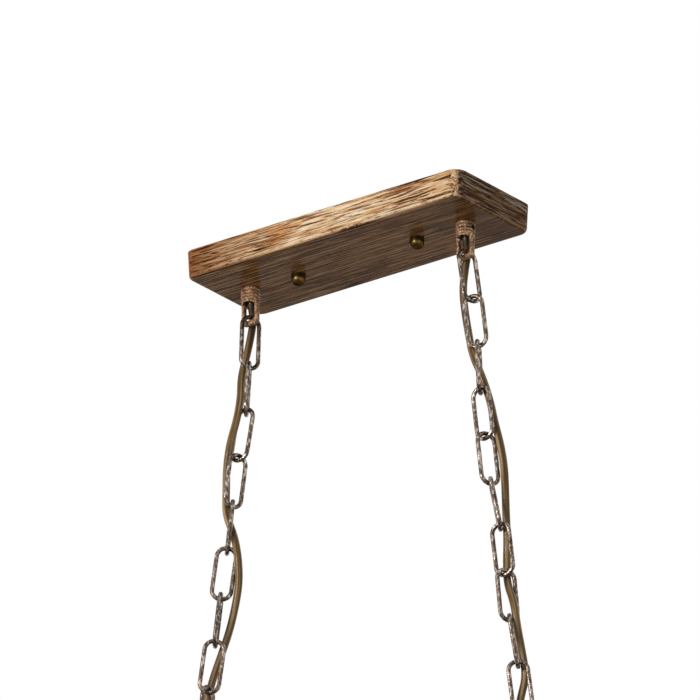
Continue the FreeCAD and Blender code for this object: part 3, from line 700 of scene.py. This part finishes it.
def build_cord_ends(side, cover, insulation):
    """The fixed ends: the jacket in each nipple, the cores in the canopy, and the cut face below."""
    axis_x = SIDES[side] * LOOP_SPACING / 2
    top = Vector((axis_x, 0, -JACKET_TOP))
    start = Vector((axis_x, 0, -CANOPY_HEIGHT + CORD_START_RISE))
    jacket = straight_piece(side + "_jacket_end", top, start, CORD_R, CORD_SIDES, cover)
    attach(jacket, "canopy")
    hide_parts("cable_ends")
    seat = lower_seat(side)
    mouth = seat - Vector((0, 0, CORD_START_RISE))
    low = seat - Vector((0, 0, NIPPLE_REACH_BELOW + CORD_PROUD - CORE_PROUD))
    tail = straight_piece(side + "_jacket_tail", mouth, low, CORD_R, CORD_SIDES, cover)
    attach(tail, side + "_lower_loop")
    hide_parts("lower_cable_" + side)
    for index, material in enumerate(insulation):
        line = smooth_line(core_route(side, index), CORD_STEPS)
        rings, reach = rings_along(line, CORE_R * MM, CORE_SIDES)
        core = tube_piece("%s_core_%d" % (side, index + 1), rings, reach, CORE_R * MM, material)
        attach(core, "canopy")
        turn = 2 * math.pi * index / CORE_COUNT
        middle = low + Vector((math.cos(turn), math.sin(turn), 0)) * (CORD_R / 2)
        stub_top = middle + Vector((0, 0, CORE_R))
        stub_end = middle - Vector((0, 0, CORE_PROUD))
        stub_name = "%s_core_stub_%d" % (side, index + 1)
        stub = straight_piece(stub_name, stub_top, stub_end, CORE_R, CORE_SIDES, material)
        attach(stub, side + "_lower_loop")


def screw_half(name, face, away, half, material):
    """Half of a slotted round head on a face across X, in millimetres, with its faces turned outwards."""
    reach = math.acos(SET_SLOT_WIDTH / 2 / SET_SCREW_R)
    outline = []
    for step in range(SET_HEAD_SIDES + 1):
        angle = -half * away * reach * (2 * step / SET_HEAD_SIDES - 1)
        outline.append(face + Vector((0, half * math.cos(angle), math.sin(angle))) * SET_SCREW_R)
    rise = Vector((away * SET_HEAD_HEIGHT, 0, 0))
    verts = [point * MM for point in outline] + [(point + rise) * MM for point in outline]
    count = len(outline)
    faces = [tuple(range(count)), tuple(range(2 * count - 1, count - 1, -1))]
    for corner in range(count):
        following = (corner + 1) % count
        faces.append((corner, corner + count, following + count, following))
    mesh = bpy.data.meshes.new(name)
    mesh.from_pydata(verts, [], faces)
    piece = shown(name, mesh, material)
    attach(piece, "canopy")


def build_screw_heads(material):
    """Near-black heads of the set screws that face outwards from the upper collars; the near-black is painted
    shade in their recesses.
    """
    for side, sign in SIDES.items():
        face_x = sign * (LOOP_SPACING / 2 + COLLAR_R - SET_RECESS_DEPTH)
        face = Vector((face_x, 0, -CANOPY_HEIGHT - COLLAR_HEIGHT / 2))
        screw_half(side + "_screw_head_front", face, sign, -1, material)
        screw_half(side + "_screw_head_rear", face, sign, 1, material)


def aim_camera():
    """Camera at the photograph's viewing angle and framing; gives its own three directions."""
    turn = math.radians(VIEW_AZIMUTH)
    rise = math.radians(VIEW_ELEVATION)
    back = Vector((math.sin(turn) * math.cos(rise), -math.cos(turn) * math.cos(rise), math.sin(rise)))
    right = Vector((math.cos(turn), math.sin(turn), 0))
    up = back.cross(right)
    aim = Vector((0, 0, -CANOPY_HEIGHT * MM)) + right * (VIEW_RIGHT_MM * MM) + up * (VIEW_UP_MM * MM)
    data = bpy.data.cameras.new("camera")
    data.sensor_width = SENSOR_MM
    data.lens = VIEW_DISTANCE / (VIEW_MM_PER_PX * MM) / IMAGE_PX * SENSOR_MM
    camera = bpy.data.objects.new("camera", data)
    scene.collection.objects.link(camera)
    camera.location = aim + back * VIEW_DISTANCE
    camera.rotation_euler = back.to_track_quat("Z", "Y").to_euler()
    scene.camera = camera
    return back, right, up


def hang_lamps(back, right, up):
    """Soft square lamps that look at the object."""
    target = Vector((0, 0, LAMP_AIM_Z))
    for name, values in LAMPS.items():
        data = bpy.data.lights.new(name, "AREA")
        data.shape = "SQUARE"
        data.size = values["size"]
        data.energy = values["power"]
        data.color = values["colour"]
        thing = bpy.data.objects.new(name, data)
        scene.collection.objects.link(thing)
        thing.visible_glossy = values["mirrored"]
        away = back * values["back"] + right * values["right"] + up * values["up"]
        thing.location = target + away
        thing.rotation_euler = away.to_track_quat("Z", "Y").to_euler()


def white_room():
    """White backdrop for camera and reflections, soft grey light from all round, and a pale floor."""
    world = bpy.data.worlds.new("studio")
    scene.world = world
    world.use_nodes = True
    nodes = world.node_tree.nodes
    links = world.node_tree.links
    path = nodes.new("ShaderNodeLightPath")
    seen = path.outputs["Is Camera Ray"]
    for ray in ("Is Glossy Ray", "Is Transmission Ray"):
        either = nodes.new("ShaderNodeMath")
        either.operation = "MAXIMUM"
        links.new(seen, either.inputs[0])
        links.new(path.outputs[ray], either.inputs[1])
        seen = either.outputs[0]
    strength = nodes.new("ShaderNodeMapRange")
    strength.inputs["To Min"].default_value = ROOM_LIGHT
    strength.inputs["To Max"].default_value = ROOM_SEEN
    links.new(seen, strength.inputs["Value"])
    background = nodes["Background"]
    background.inputs["Color"].default_value = (1.0, 1.0, 1.0, 1.0)
    links.new(strength.outputs["Result"], background.inputs["Strength"])

    mesh = bpy.data.meshes.new("floor")
    low, high = -FLOOR_HALF, FLOOR_HALF
    corners = [(low, low, FLOOR_Z), (high, low, FLOOR_Z), (high, high, FLOOR_Z), (low, high, FLOOR_Z)]
    mesh.from_pydata(corners, [], [(0, 1, 2, 3)])
    tree = Tree("pale_floor")
    tree.set(Base_Color=srgb(*FLOOR_COLOUR), Roughness=FLOOR_ROUGH)
    shown("floor", mesh, tree.material)


def build_cords():
    """Cords, their stripped ends and cores on both sides."""
    cover = cord_cover()
    insulation = []
    for number, colour in enumerate(CORE_COLOURS, 1):
        shade = tuple(channel * CORE_SHADE for channel in colour)
        insulation.append(plastic("core_%d" % number, colour, shade))
    for side in SIDES:
        build_cord(side, cover)
        build_cord_ends(side, cover, insulation)


def dress_parts():
    """Materials of the CAD nodes that stay in view."""
    zinc_nodes = ["mounting_bracket", "canopy_studs", "lock_nuts", "upper_nipples"]
    zinc_nodes += ["lower_nipple_left", "lower_nipple_right"]
    links = [name for side in SIDES for name in link_names(side)]
    dress(["canopy_shell"], wood())
    dress(links, rubbed_metal("rubbed_chain_and_painted_highlights", CHAIN_LOOK))
    dress(["upper_loops", "lower_loop_left", "lower_loop_right"], rubbed_metal("rubbed_collar", COLLAR_LOOK))
    dress(["cap_nut_left", "cap_nut_right", "earth_screw"], plain_metal("aged_brass", BRASS_LOOK))
    dress(zinc_nodes, plain_metal("zinc", ZINC_LOOK))
    dress(["cord_grips"], plastic("black_plastic", *GRIP_COLOURS))
    dress(["wire_connectors"], plastic("ochre_plastic", *CONNECTOR_COLOURS))


def main():
    """Builds the whole scene."""
    scene.view_settings.view_transform = "Standard"
    hang_lamps(*aim_camera())
    white_room()
    build_cords()
    build_screw_heads(plain_metal("screw_head_painted_shade", SCREW_LOOK))
    dress_parts()


main()
